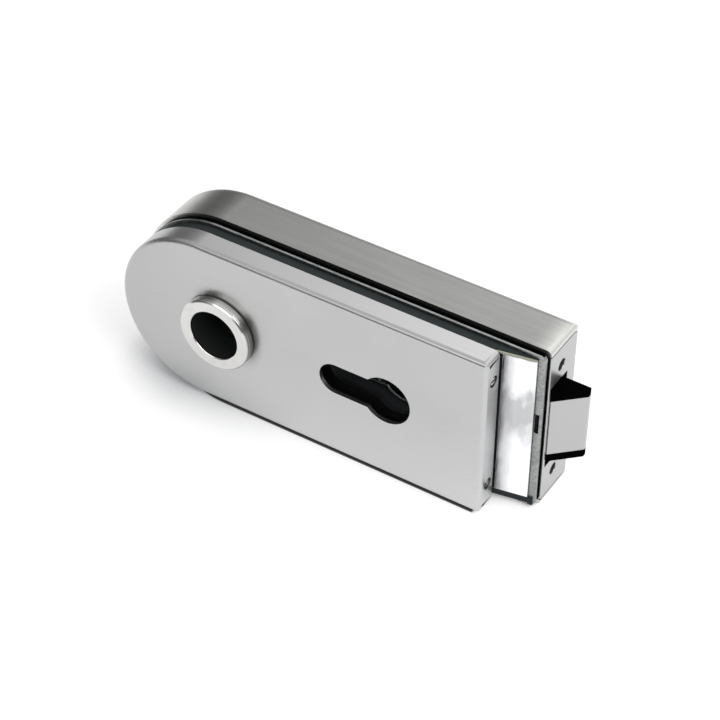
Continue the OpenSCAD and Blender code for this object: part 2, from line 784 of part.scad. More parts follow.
// Follower: barrel with a square hole, an arm for the slide and an arm for the spring
module follower() {
    barrel_y = lid_y - slide_gap;
    color([0.45, 0.45, 0.46]) difference() {
        union() {
            y_rod(barrel_r, barrel_y, cast_back_y - slide_gap);
            y_rod(front_shoulder_r, cast_y + bush_flange_t + shoulder_gap, arm_y);
            y_rod(rear_shoulder_r, arm_y + arm_t, floor_y - bush_flange_t - shoulder_gap);
            flat_piece(arm_y, arm_y + arm_t) {
                circle(rear_shoulder_r);
                arm_outline(barrel_r - arm_waist, [0, arm_r]);
                translate([-spring_pad_w, -spring_arm_r - spring_pad_w])
                    square([2 * spring_pad_w, spring_arm_r + spring_pad_w]);
            }
        }
        translate([-spindle_w / 2, barrel_y - over, -spindle_w / 2])
            cube([spindle_w, cast_back_y - barrel_y + 2 * over, spindle_w]);
    }
}

// Flanged bush in the lid or in the back plate, from its collar to its flange
module follower_bush(collar_y0, collar_y1, flange_y) {
    color([0.62, 0.5, 0.3]) difference() {
        union() {
            y_rod(bush_r, collar_y0, collar_y1);
            y_rod(bush_flange_r, flange_y, flange_y + bush_flange_t);
        }
        y_rod(barrel_r + run_gap, collar_y0 - over - bush_flange_t, collar_y1 + over + bush_flange_t);
    }
}

module follower_bush_front() {
    follower_bush(lid_y, cast_y + bush_flange_t, cast_y);
}

module follower_bush_rear() {
    follower_bush(floor_y - bush_flange_t, cast_back_y, floor_y - bush_flange_t);
}

// Spring that turns the follower back, between its lower arm and its stop
module follower_spring() {
    color([0.7, 0.7, 0.72]) translate([spring_pad_w, arm_y + arm_t / 2, -spring_arm_r])
        coil_spring(coil_r, wire_d, coil_turns, follower_stop_x - spring_pad_w);
}

// Change lever: the cylinder's cam pushes its lower arm, its upper tip draws the slide back
module change_lever() {
    color([0.6, 0.6, 0.56]) difference() {
        translate([lever_x, 0, lever_z]) flat_piece(arm_y, arm_y + arm_t) {
            circle(lever_boss_r);
            arm_outline(lever_boss_r - arm_waist, [0, lever_r]);
            arm_outline(lever_boss_r - arm_waist, lever_low);
        }
        y_rod(pin_r + run_gap, arm_y - over, arm_y + arm_t + over, lever_x, lever_z);
    }
}

// Pin of the change lever, seated in the back plate
module lever_pin() {
    color([0.75, 0.75, 0.75]) y_rod(pin_r, cast_y + seat_gap, cast_back_y - pin_end, lever_x, lever_z);
}

// Torsion spring on the lever's pin
module lever_spring() {
    color([0.7, 0.7, 0.72]) translate([lever_x, arm_y - seat_gap, lever_z]) rotate([0, 0, -90])
        coil_spring(torsion_r, wire_d, torsion_turns, arm_y - cast_y - 3 * seat_gap);
}

// Cheese-head screws that clamp the front cover's plate and the case to the glass
module clamp_screws() {
    slot_w = 1;
    slot_depth = 1.1;
    color([0.7, 0.7, 0.71]) for (x = clamp_x, s = [-1, 1]) difference() {
        union() {
            y_rod(clamp_head_r, -base_t - clamp_head_h, -base_t, x, s * clamp_z);
            y_rod(clamp_r, -base_t, floor_y - 2 * over, x, s * clamp_z);
        }
        translate([x - clamp_head_r - over, -base_t - clamp_head_h - over, s * clamp_z - slot_w / 2])
            cube([2 * (clamp_head_r + over), slot_depth + over, slot_w]);
    }
}

// Slotted screws in the front cover's end
module cover_screws() {
    slot_w = 0.7;
    slot_depth = 0.8;
    head_x = front_x - cover_screw_sink;
    color([0.85, 0.85, 0.85]) for (s = [-1, 1]) difference() {
        x_rod(small_r, front_in_x - cover_lug_t, head_x, cover_screw_y, s * cover_screw_z);
        translate([head_x - slot_depth, cover_screw_y - small_r - over, s * cover_screw_z - slot_w / 2])
            cube([slot_depth + over, 2 * (small_r + over), slot_w]);
    }
}

// Set screws with a six-sided socket, sunk in the forend plate
module forend_screws() {
    socket_r = 1.15;
    socket_depth = 2;
    color([0.3, 0.3, 0.3]) for (s = [-1, 1]) difference() {
        x_rod(clamp_r, room_x - 1, hub_to_forend - forend_sink, forend_screw_y, s * forend_screw_z);
        translate([hub_to_forend - forend_sink - socket_depth, forend_screw_y, s * forend_screw_z])
            rotate([0, 90, 0]) cylinder(r = socket_r, h = socket_depth + over, $fn = 6);
    }
}

// Countersunk screws that hold the lid on the chassis
module lid_screws() {
    slot_w = 0.7;
    slot_depth = 0.6;
    color([0.7, 0.7, 0.71]) for (p = lid_screw_at) difference() {
        union() {
            lid_screw_head(p);
            y_rod(small_r, lid_y + small_head_w, cast_y + lid_screw_len, p[0], p[1]);
        }
        translate([p[0] - small_head_r, lid_y - over, p[1] - slot_w / 2])
            cube([2 * small_head_r, slot_depth + over, slot_w]);
    }
}

// Screw from the lower edge that fixes the cylinder
module cylinder_screw() {
    slot_w = 1.2;
    slot_depth = 1.4;
    color([0.7, 0.7, 0.71]) translate([fix_x, fix_y, -case_r + fix_sink]) difference() {
        union() {
            cylinder(r = fix_head_r, h = fix_head_h);
            cylinder(r = fix_r, h = case_r - fix_sink - cyl_slot_w / 2 - over);
        }
        translate([-fix_head_r - over, -slot_w / 2, -over])
            cube([2 * (fix_head_r + over), slot_w, slot_depth + over]);
    }
}

front_cover();
front_base();
front_ring();
front_liner();
ring_clip();
rear_ring();
rear_liner();
case_cover();
forend_plate();
lock_chassis();
back_plate();
chassis_posts();
glass_gasket();
nose_block();
nose_plate();
case_lid();
case_seal();
latch_bolt();
latch_cap(1);  // latch_cap_top
latch_cap(-1);  // latch_cap_bottom
latch_slide();
latch_rivets();
latch_spring();
follower();
follower_bush_front();
follower_bush_rear();
follower_spring();
change_lever();
lever_pin();
lever_spring();
clamp_screws();
cover_screws();
forend_screws();
lid_screws();
cylinder_screw();
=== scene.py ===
"""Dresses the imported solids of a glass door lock: finishes, worked edges, springs, screws and stage."""

import json
import math
from functools import cache

import bmesh
import bpy
from mathutils import Matrix, Vector


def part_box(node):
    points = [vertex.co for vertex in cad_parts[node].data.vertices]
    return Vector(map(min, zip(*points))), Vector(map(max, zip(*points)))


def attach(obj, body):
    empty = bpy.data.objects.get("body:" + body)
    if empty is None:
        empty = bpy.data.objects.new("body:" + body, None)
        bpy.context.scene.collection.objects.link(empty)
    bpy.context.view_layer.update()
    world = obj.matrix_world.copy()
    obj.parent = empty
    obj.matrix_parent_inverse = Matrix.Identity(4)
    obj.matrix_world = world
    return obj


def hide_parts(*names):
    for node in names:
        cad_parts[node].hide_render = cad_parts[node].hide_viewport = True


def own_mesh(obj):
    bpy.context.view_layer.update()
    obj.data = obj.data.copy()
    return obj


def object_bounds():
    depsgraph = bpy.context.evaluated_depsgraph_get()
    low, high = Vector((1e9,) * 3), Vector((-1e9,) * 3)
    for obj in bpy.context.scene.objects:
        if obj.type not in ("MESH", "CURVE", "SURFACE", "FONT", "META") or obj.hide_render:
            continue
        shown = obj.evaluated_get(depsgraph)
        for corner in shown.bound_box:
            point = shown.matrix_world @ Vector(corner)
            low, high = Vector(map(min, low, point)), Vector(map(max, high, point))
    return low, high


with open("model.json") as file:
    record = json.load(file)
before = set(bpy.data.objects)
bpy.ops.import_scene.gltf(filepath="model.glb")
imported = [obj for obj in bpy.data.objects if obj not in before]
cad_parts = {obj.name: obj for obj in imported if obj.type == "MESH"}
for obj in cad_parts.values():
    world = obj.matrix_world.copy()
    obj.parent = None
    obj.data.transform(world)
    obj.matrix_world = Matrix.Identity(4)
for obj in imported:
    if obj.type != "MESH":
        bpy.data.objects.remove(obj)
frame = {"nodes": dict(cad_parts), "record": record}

bl_info = {
    "name": "Glass Door Lock",
    "version": (1, 0, 0),
    "blender": (4, 5, 0),
    "location": "View3D > Sidebar > Lock",
    "description": "Dresses the solids of a glass door lock with worked edges, fine parts and finishes",
    "category": "Object",
}

CAD_BOX = [list(corner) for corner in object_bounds()]
SLOTS = {row["node"]: row["material_slot"] for row in frame["record"]["subparts"]}
BODIES = {
    node: body for body, nodes in frame["record"]["behaviour"]["bodies"].items() for node in nodes
}

# Width of the picture in pixels, and of the camera's sensor in millimetres
PICTURE = 720
SENSOR = 36.0

# Points of a solid nearer than this, in metres, are one, and faces that turn by less are one face
SAME_POINT = 2e-6
SAME_FACE = math.radians(0.6)
# Turns between two faces that make a sharp edge, on a solid, a grown screw and a grown spring
SHARP = math.radians(32.0)
SHARP_SCREW = math.radians(30.0)
SHARP_SPRING = math.radians(50.0)
# Rounding of a grown screw's edges, in metres, and the turns that get it
SCREW_EDGE = 0.00006
SCREW_BEVEL = math.radians(40.0)

# Places where a finish changes, in metres: where the change starts and where it is full.
# From the hub's axis, east runs to the latch and north up. Depth runs from front to rear.
COVER_FOOT = (0.004, -0.028)  # north: painted lighter reflection towards the front cover's foot
COVER_END = (0.0, -0.03)  # east: painted darker shade at the front cover's round end
FOREND = (0.112, 0.1125)  # east
FOREND_SEAM = (0.0005, 0.0003)  # in from the forend plate's ends: painted shade of the seam
RING_SHADE_REACH = (0.0042, 0.0002)  # out from the front ring: painted shade
RING_SHADE_SIDE = (-0.002, 0.013)  # east, and a little less so north
CASE_END = (-0.016, -0.034)  # east: painted highlight on the case's round end
CASE_LIP = (0.104, 0.1125)  # east: painted highlight along the lip at the forend
GLUE = (0.00075, 0.00045)  # down from the nose plate's top
RING_FOOT_SHADE = (0.0007, 0.0004)  # in front of the front cover: painted shade at the ring's foot
RING_SIDE = (0.0004, 0.0001)  # in from the ring's outside: painted shade on its right side
LINER_BORE = (0.0150, 0.0140)  # out from the hub's axis: painted light in the liners' bore
FLOOR_LINE = (0.0007, 0.0003)  # in front of the front cover: painted shadow line on the floor
FLOOR_LINE_START = (-0.026, -0.006)  # east
FLOOR_LINE_END = (0.0032, 0.0022)  # in from the front cover's end
FLOOR_SHADE = (0.03, -0.015)  # east: painted shade round the lock's left end
# Slack past such a place, beyond which another piece of the same finish is left alone
SLACK = 0.001

# Brightness of the sky by height, from 0 at the horizon to 1 overhead: dim low down, then a bright band
SKY = ((0.0, 0.2), (0.3, 0.2), (0.42, 0.36), (0.52, 1.3), (0.6, 2.4), (0.72, 2.1), (0.82, 1.0), (1.0, 0.8))
# The same behind the lock at the right, and straight behind it
BACK_SKY = ((0.0, 0.75), (0.3, 1.0), (0.5, 1.3), (0.7, 1.3), (0.82, 1.0), (1.0, 0.8))
TO_RIGHT = (0.0, 0.35)
TO_BACK = (-0.1, 0.2)
STRAIGHT_BACK = (0.68, 0.8)
# Share of the light that a dark flag lets through, by how far right of SHADE_LEFT it comes from
SHADE = ((0.0, 0.24), (0.03, 0.28), (0.12, 0.8), (0.2, 1.0))
SHADE_LEFT = -0.5
# Heights over which that shade sets in, downwards
SHADE_BELOW = (0.95, 0.7)
# Least brightness anywhere in the sky
DIM = (0.18, 0.18, 0.18)

# Each lamp's place, its size in metres and its tint
KEY_LAMP = ((0.56, -0.16, 0.56), (0.5, 0.4), (1.0, 0.995, 0.98))
SIDE_LAMP = ((0.75, -0.35, 0.35), (0.4, 0.4), (0.97, 0.98, 1.0))
# How far the floor reaches each way, and how near a piece shades it, in metres
FLOOR_REACH = 6.0
SHADE_REACH = 0.02
# How strongly the floor glows where it is seen
FLOOR_GLOW = 0.26


# Sizes and colours


def colour_property(name, text, value):
    """Colour that a user may change."""
    return bpy.props.FloatVectorProperty(
        name=name, description=text, default=value, size=3, min=0.0, max=1.0, subtype="COLOR"
    )


def length_property(name, text, value):
    """Length that a user may change."""
    return bpy.props.FloatProperty(
        name=name, description=text, default=value, min=0.0, precision=5, subtype="DISTANCE", unit="LENGTH"
    )


def offset_property(name, text, value):
    """Length of either sign that a user may change."""
    return bpy.props.FloatProperty(name=name, description=text, default=value, unit="LENGTH")


def angle_property(name, text, degrees):
    """Angle that a user may change."""
    return bpy.props.FloatProperty(
        name=name, description=text, default=math.radians(degrees), subtype="ANGLE", unit="ROTATION"
    )


def power_property(name, text, value):
    """Power of a lamp, which a user may change."""
    return bpy.props.FloatProperty(name=name, description=text, default=value, min=0.0, unit="POWER")


def turns_property(name, text, value, least):
    """Number of a spring's turns, which a user may change."""
    return bpy.props.IntProperty(name=name, description=text, default=value, min=least)


class LockFinishes(bpy.types.PropertyGroup):
    """Colours of the lock's finishes"""

    satin: colour_property("Satin steel", "Front cover, forend plate and latch", (0.50, 0.505, 0.50))
    case: colour_property("Case steel", "Brushed case cover", (0.315, 0.315, 0.305))
    mirror: colour_property("Mirror steel", "Polished plate on the nose", (0.90, 0.905, 0.925))
    ring: colour_property("Ring steel", "Handle rings and the front cover's screws", (0.67, 0.665, 0.65))
    plated: colour_property("Plated steel", "Lid, posts, slide plate, lever and screws", (0.30, 0.31, 0.305))
    casting: colour_property("Casting", "Chassis, back plate and follower", (0.011, 0.0117, 0.0124))
    blackened: colour_property("Blackened steel", "Fixing plate and the forend's screws", (0.02, 0.02, 0.022))
    rubber: colour_property("Rubber", "Gasket and nose block", (0.022, 0.0265, 0.028))
    nylon: colour_property("Nylon", "Latch caps, liners and seal", (0.0012, 0.0013, 0.0013))
    brass: colour_property("Brass", "Bushes of the follower", (0.52, 0.36, 0.14))
    wire: colour_property("Spring steel", "Coil springs, clip and lever pin", (0.42, 0.42, 0.44))


class LockEdges(bpy.types.PropertyGroup):
    """Rounding of the pieces' edges"""

    sheet: length_property("Sheet edge", "Rounding along a cut or folded sheet edge", 0.00026)
    seam: length_property("Seam edge", "Rounding of the forend plate, which shows as a fine seam", 0.0004)
    fine: length_property("Fine edge", "Rounding along the edge of a small turned or cut piece", 0.0001)
    cast: length_property("Cast edge", "Rounding along the edges of a casting or moulding", 0.00022)


class LockSprings(bpy.types.PropertyGroup):
    """Winding of the coil springs"""

    wire: length_property("Wire", "Diameter of the wire", 0.0008)
    radius: length_property("Radius", "Mean radius of the latch's and the follower's spring", 0.0026)
    turns: turns_property("Turns", "Turns of the same springs", 8, 4)
    lever_radius: length_property("Lever spring radius", "Mean radius of the lever's spring", 0.0036)
    lever_turns: turns_property("Lever spring turns", "Turns of that spring", 4, 3)


class LockCamera(bpy.types.PropertyGroup):
    """Place of the camera, as fitted to the photograph"""

    azimuth: angle_property("Azimuth", "Angle round the lock", 31.8453)
    elevation: angle_property("Elevation", "Angle above the floor", 41.1519)
    roll: angle_property("Roll", "Turn about the line of sight", 0.6457)
    distance: length_property("Distance", "Distance from the hub's axis", 0.7640122)
    focal: bpy.props.FloatProperty(
        name="Focal length", description="Focal length in pixels of the picture", default=2316.2846, min=100.0
    )
    across: offset_property("Across", "Offset of the hub's axis across the picture", -0.0417435)
    up: offset_property("Up", "Offset of the hub's axis up the picture", 0.0142493)


class LockStage(bpy.types.PropertyGroup):
    """Floor and light"""

    floor: colour_property("Floor", "Colour of the floor", (0.80, 0.80, 0.805))
    key: power_property("Key lamp", "Power of the large lamp above and to the right", 2.2)
    side: power_property("Side lamp", "Power of the lower lamp at the right", 0.2)
    sky: bpy.props.FloatProperty(
        name="Sky", description="Strength of the soft light all round", default=1.0, min=0.0
    )


def settings(group):
    """One of the scene's property groups."""
    return getattr(bpy.context.scene, group)


# Node maths


class Wire:
    """A node's socket that takes part in Python arithmetic."""

    def __init__(self, tree, socket):
        self.tree = tree
        self.socket = socket

    def maths(self, operation, left, right):
        """One Math node on two values, each a socket or a number."""
        return self.tree.node("ShaderNodeMath", {"operation": operation}, {0: left, 1: right})

    def __add__(self, other):
        return self.maths("ADD", self, other)

    def __radd__(self, other):
        return self.maths("ADD", other, self)

    def __sub__(self, other):
        return self.maths("SUBTRACT", self, other)

    def __rsub__(self, other):
        return self.maths("SUBTRACT", other, self)

    def __mul__(self, other):
        return self.maths("MULTIPLY", self, other)

    def __rmul__(self, other):
        return self.maths("MULTIPLY", other, self)

    def __truediv__(self, other):
        return self.maths("DIVIDE", self, other)

    def __rtruediv__(self, other):
        return self.maths("DIVIDE", other, self)

    def __pow__(self, other):
        return self.maths("POWER", self, other)

    def __gt__(self, other):
        return self.maths("GREATER_THAN", self, other)

    def __lt__(self, other):
        return self.maths("LESS_THAN", self, other)


class Tree:
    """A node tree, filled by one method."""

    def __init__(self, tree):
        self.tree = tree

    def node(self, kind, choices=None, inputs=None, out=0):
        """Adds a node: its settings first, then the values or links of its sockets. Gives one output."""
        made = self.tree.nodes.new(kind)
        for name, value in (choices or {}).items():
            if name == "stops":
                elements = made.color_ramp.elements
                while len(elements) < len(value):
                    elements.new(0.5)
                for element, (place, grey) in zip(elements, value):
                    element.position = place
                    element.color = (grey, grey, grey, 1.0)
            else:
                setattr(made, name, value)
        for key, value in (inputs or {}).items():
            socket = made.inputs[key]
            if isinstance(value, Wire):
                self.tree.links.new(value.socket, socket)
            elif socket.type == "RGBA" and len(value) == 3:
                socket.default_value = (*value, 1.0)
            else:
                socket.default_value = value
        return made if out is None else Wire(self, made.outputs[out])

    def other(self, wire, name):
        """Another output of a node that was made."""
        return Wire(self, wire.socket.node.outputs[name])

    def join(self, wire, socket):
        """Links an output to a socket."""
        self.tree.links.new(wire.socket, socket)

    def ramp(self, value, low, high):
        """Value spread from 0 at low to 1 at high."""
        return self.node("ShaderNodeMapRange", {"clamp": True}, {0: value, 1: low, 2: high})

    def greys(self, value, stops):
        """Grey picked from stops by a value from 0 to 1."""
        return self.node("ShaderNodeValToRGB", {"stops": stops}, {0: value})

    def blend(self, share, first, second, mode="MIX"):
        """Mix of two colours."""
        return self.node(
            "ShaderNodeMix", {"data_type": "RGBA", "blend_type": mode}, {0: share, 6: first, 7: second}, out=2
        )


class Shader(Tree):
    """A material's nodes."""

    SOCKETS = {
        "colour": "Base Color",
        "metal": "Metallic",
        "rough": "Roughness",
        "normal": "Normal",
        "coat": "Coat Weight",
        "specular": "Specular IOR Level",
    }

    def __init__(self, name):
        self.material = bpy.data.materials.new(name)
        self.material.use_nodes = True
        super().__init__(self.material.node_tree)
        self.tree.nodes.clear()
        self.output = self.tree.nodes.new("ShaderNodeOutputMaterial")

    def place(self, scale=(1.0, 1.0, 1.0), turn=(0.0, 0.0, 0.0)):
        """Object coordinates, stretched and turned."""
        found = self.node("ShaderNodeTexCoord", out="Object")
        return self.node("ShaderNodeMapping", {}, {0: found, 2: turn, 3: scale})

    def axes(self):
        """East, depth and north: the three object coordinates, in metres."""
        east = self.node("ShaderNodeSeparateXYZ", {}, {0: self.place()})
        return east, self.other(east, "Y"), self.other(east, "Z")

    def noise(self, place, scale, detail=3.0, rough=0.5):
        """Soft noise from 0 to 1."""
        return self.node(
            "ShaderNodeTexNoise", {}, {"Vector": place, "Scale": scale, "Detail": detail, "Roughness": rough}
        )

    def layered(self, tone, colour, *layers):
        """Tone under layers, each a share over the surface and how the colour is scaled where it lies."""
        for share, factor in layers:
            tone = self.blend(share, tone, scaled(colour, factor))
        return tone

    def bump(self, height, depth):
        """Bumps of a depth in metres."""
        return self.node("ShaderNodeBump", {}, {"Height": height, "Distance": depth})

    def finish(self, **inputs):
        """Principled shader on the given sockets, as the material's surface."""
        given = {self.SOCKETS[key]: value for key, value in inputs.items()}
        self.join(self.node("ShaderNodeBsdfPrincipled", {}, given), self.output.inputs["Surface"])
        return self.material


def from_axis(east, north):
    """Distance from the hub's axis."""
    return (east * east + north * north) ** 0.5


# Finishes


def scaled(colour, factor):
    """Colour made lighter or darker."""
    return tuple(min(1.0, part * factor) for part in colour)


def satin_steel(name, colour):
    """Satin grain along the lock with faint hand marks.

    The front cover's foot is lighter by painted reflection, and its round end darker by painted shade.
    The forend is darker, the forend plate's ends have a dark seam of painted shade, and painted shade lies
    to the upper right of the front ring.
    """
    shader = Shader(name)
    east, _, north = shader.axes()
    grain = shader.noise(shader.place((60.0, 2600.0, 2600.0)), 1.0, 4.0, 0.6)
    marks = shader.noise(shader.place((28.0, 40.0, 36.0)), 1.0, 3.0, 0.55)
    specks = shader.ramp(shader.noise(shader.place(), 1900.0, 2.0, 0.6), 0.66, 0.8)
    plate_low, plate_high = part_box("forend_plate")
    # Painted shade of a dark seam along the forend plate's top and bottom ends
    seam = shader.ramp(north * north, *((plate_high[2] - inset) ** 2 for inset in FOREND_SEAM))
    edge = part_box("front_ring")[1][0]
    # Painted shade lying to the upper right of the front ring
    ring_shade = shader.ramp(from_axis(east, north), *(edge + reach for reach in RING_SHADE_REACH)) ** 1.6
    ring_shade = ring_shade * shader.ramp(east + north * 0.8, *RING_SHADE_SIDE)
    return shader.finish(
        colour=shader.layered(
            shader.blend(shader.ramp(marks, 0.3, 0.7), scaled(colour, 0.96), scaled(colour, 1.04)),
            colour,
            (grain * 0.12, 0.72),
            # Painted reflection makes the foot lighter, and painted shade makes the round end darker
            (shader.ramp(north, *COVER_FOOT), 1.15),
            (shader.ramp(east, *COVER_END), 0.9),
            (shader.ramp(east, *FOREND), 0.88),
            (seam * (east > plate_low[0]), 0.12),
            (ring_shade * 0.7, 0.25),
        ),
        metal=1.0,
        rough=0.3 + (grain - 0.5) * 0.1 + (marks - 0.5) * 0.12 + specks * 0.05,
        normal=shader.bump(grain, 0.25e-6),
    )


def case_steel(name, colour):
    """Brushed along the lock, darker than the front cover, with rub marks.

    The round end is lighter by a painted reflection, and the lip at the forend by a painted highlight.
    """
    shader = Shader(name)
    east = shader.axes()[0]
    grain = shader.noise(shader.place((30.0, 3000.0, 3000.0)), 1.0, 5.0, 0.62)
    streaks = shader.noise(shader.place((14.0, 700.0, 700.0)), 1.0, 3.0, 0.5)
    marks = shader.noise(shader.place((45.0, 60.0, 60.0)), 1.0, 4.0, 0.6)
    return shader.finish(
        colour=shader.layered(
            shader.blend(shader.ramp(streaks, 0.3, 0.7), scaled(colour, 0.965), scaled(colour, 1.035)),
            colour,
            # Painted highlights make the round end and the lip at the forend lighter
            (shader.ramp(east, *CASE_END), 2.3),
            (shader.ramp(east, *CASE_LIP) ** 2.0, 2.1),
            (shader.ramp(marks, 0.55, 0.75) * 0.25, 1.25),
            (shader.ramp(grain, 0.35, 0.7) * 0.22, 0.65),
        ),
        metal=1.0,
        rough=0.34 + (grain - 0.5) * 0.2 + (marks - 0.5) * 0.14,
        normal=shader.bump(grain, 1.0e-6),
    )


def mirror_steel(name, colour):
    """Mirror polish under a wiped film, glue along the top, and painted reflection: dim middle, dark left."""
    shader = Shader(name)
    low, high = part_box("nose_plate")
    east, _, north = shader.axes()
    waves = shader.noise(shader.place((60.0, 60.0, 45.0)), 1.0, 1.0, 0.4)
    wipes = shader.noise(shader.place((900.0, 200.0, 120.0), (0.0, 0.4, 0.0)), 1.0, 3.0, 0.6)
    drift = (shader.noise(shader.place((220.0, 220.0, 130.0)), 1.0, 2.0, 0.5) - 0.5) * 0.35
    across = (east - low[0]) * (1.0 / (high[0] - low[0])) + drift * 0.5
    rise = (north - low[2]) * (1.0 / (high[2] - low[2])) + drift
    # Painted reflection: dim across the middle, and dark towards the left side and its edge
    middle = shader.ramp(rise, 0.38, 0.54) * (1.0 - shader.ramp(rise, 0.7, 0.8))
    side = 1.0 - shader.ramp(across, 0.26, 0.56)
    edge = 1.0 - shader.ramp(across, 0.2, 0.34)
    glue = shader.ramp(north - high[2] + drift * 0.004, *(-down for down in GLUE))
    tone = shader.layered(
        colour,
        colour,
        (middle * 0.9, 0.52),
        (side * 0.8, 0.36),
        (edge * 0.8, 0.12),
        (shader.ramp(wipes, 0.45, 0.75) * 0.25, 0.8),
    )
    return shader.finish(
        colour=shader.blend(glue, tone, (0.30, 0.30, 0.24)),
        metal=1.0 - glue,
        rough=0.06 + shader.ramp(wipes, 0.4, 0.8) * 0.09 + middle * 0.08 + glue * 0.4,
        normal=shader.bump(waves, 30e-6),
    )


def turned_steel(name, colour):
    """Turned about the hub and polished, with fine tool rings and painted shade at the right side and foot.
    """
    shader = Shader(name)
    east, depth, north = shader.axes()
    radius = from_axis(east, north)
    place = shader.node("ShaderNodeCombineXYZ", {}, {0: radius * 9000.0, 1: depth * 9000.0})
    rings = shader.noise(place, 1.0, 2.0, 0.6)
    marks = shader.noise(shader.place((180.0, 180.0, 180.0)), 1.0, 3.0, 0.6)
    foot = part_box("front_cover")[0][1]
    # Painted shade where the ring meets the front cover
    foot_shade = shader.ramp(depth, *(foot - reach for reach in RING_FOOT_SHADE)) * (depth < foot + SLACK)
    foot_shade = foot_shade * (0.8 + (marks - 0.5) * 0.4)
    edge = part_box("front_ring")[1][0]
    # Painted shade darkening the ring's outside towards the right
    side = shader.ramp(radius, *(edge - inset for inset in RING_SIDE)) * (radius < edge + SLACK)
    side = side * shader.ramp(east * (1.0 / edge), 0.35, 0.9)
    return shader.finish(
        colour=shader.layered(
            colour,
            colour,
            (shader.ramp(marks, 0.4, 0.75) * 0.4, 0.82),
            (side * 0.8, 0.3),
            (foot_shade, 0.06),
        ),
        metal=1.0,
        rough=0.18 + (rings - 0.5) * 0.12 + (marks - 0.5) * 0.14 + foot_shade * 0.3,
        normal=shader.bump(rings, 0.5e-6),
    )


def plated_steel(name, colour):
    """Zinc plating with a mottled bloom and small dark pits."""
    shader = Shader(name)
    bloom = shader.noise(shader.place(), 1100.0, 4.0, 0.65)
    patches = shader.noise(shader.place((160.0, 160.0, 240.0)), 1.0, 3.0, 0.6)
    pits = shader.ramp(shader.noise(shader.place(), 2600.0, 2.0, 0.5), 0.68, 0.76)
    return shader.finish(
        colour=shader.layered(
            shader.blend(shader.ramp(bloom, 0.35, 0.65), scaled(colour, 0.72), scaled(colour, 1.25)),
            colour,
            (shader.ramp(patches, 0.45, 0.7) * 0.45, 0.55),
            (pits * 0.6, 0.3),
        ),
        metal=1.0,
        rough=0.34 + (bloom - 0.5) * 0.3 + pits * 0.2,
        normal=shader.bump(bloom - pits * 0.6, 9e-6),
    )


def cast_metal(name, colour):
    """Grainy die casting."""
    shader = Shader(name)
    skin = shader.noise(shader.place(), 1500.0, 4.0, 0.65)
    flow = shader.noise(shader.place((90.0, 90.0, 50.0)), 1.0, 3.0, 0.6)
    return shader.finish(
        colour=shader.blend(shader.ramp(flow, 0.35, 0.7), scaled(colour, 0.8), scaled(colour, 1.3)),
        metal=0.85,
        rough=0.52 + (skin - 0.5) * 0.25,
        normal=shader.bump(skin, 16e-6),
    )


def rubber(name, colour):
    """Moulded rubber with dust along it."""
    shader = Shader(name)
    skin = shader.noise(shader.place(), 2200.0, 3.0, 0.6)
    dust = shader.ramp(shader.noise(shader.place((120.0, 500.0, 500.0)), 1.0, 4.0, 0.7), 0.5, 0.8)
    return shader.finish(
        colour=shader.layered(colour, colour, (dust * 0.3, 2.2)),
        rough=0.62 + (skin - 0.5) * 0.2 + dust * 0.1,
        normal=shader.bump(skin, 10e-6),
        specular=0.12,
    )


def nylon(name, colour):
    """Moulded black nylon with a fine matte grain; painted light makes the liners' bore less black."""
    shader = Shader(name)
    east, _, north = shader.axes()
    grain = shader.noise(shader.place(), 3200.0, 3.0, 0.6)
    rubs = shader.ramp(shader.noise(shader.place((160.0, 160.0, 900.0)), 1.0, 3.0, 0.6), 0.58, 0.8)
    # Painted light that makes the liners' bore less black
    bore = shader.ramp(from_axis(east, north), *LINER_BORE)
    return shader.finish(
        colour=shader.layered(colour, colour, (rubs * 0.25, 4.0), (bore, 14.0)),
        rough=0.42 + (grain - 0.5) * 0.2 + rubs * 0.12,
        normal=shader.bump(grain, 5e-6),
        specular=0.0,
    )


def blackened(name, colour):
    """Blackened steel with worn spots."""
    shader = Shader(name)
    skin = shader.noise(shader.place(), 1800.0, 3.0, 0.6)
    worn = shader.ramp(shader.noise(shader.place((300.0, 300.0, 300.0)), 1.0, 4.0, 0.7), 0.62, 0.72)
    return shader.finish(
        colour=shader.layered(colour, colour, (worn * 0.6, 6.0)),
        metal=0.7,
        rough=0.45 + (skin - 0.5) * 0.2 - worn * 0.12,
        normal=shader.bump(skin, 6e-6),
    )


def brass(name, colour):
    """Turned brass, a little dull."""
    shader = Shader(name)
    turning = shader.noise(shader.place((200.0, 5000.0, 200.0)), 1.0, 2.0, 0.5)
    stains = shader.noise(shader.place(), 420.0, 4.0, 0.6)
    return shader.finish(
        colour=shader.layered(colour, colour, (shader.ramp(stains, 0.45, 0.75) * 0.6, 0.55)),
        metal=1.0,
        rough=0.3 + (turning - 0.5) * 0.15 + (stains - 0.5) * 0.2,
        normal=shader.bump(turning, 1.5e-6),
    )


def drawn_wire(name, colour):
    """Drawn spring wire with a thin film of grease."""
    shader = Shader(name)
    lines = shader.noise(shader.place((2500.0, 900.0, 900.0)), 1.0, 3.0, 0.6)
    film = shader.noise(shader.place(), 380.0, 3.0, 0.6)
    return shader.finish(
        colour=shader.layered(colour, colour, (shader.ramp(film, 0.5, 0.75) * 0.5, 0.6)),
        metal=1.0,
        rough=0.26 + (lines - 0.5) * 0.16,
        normal=shader.bump(lines, 1.0e-6),
        coat=shader.ramp(film, 0.4, 0.7) * 0.3,
    )


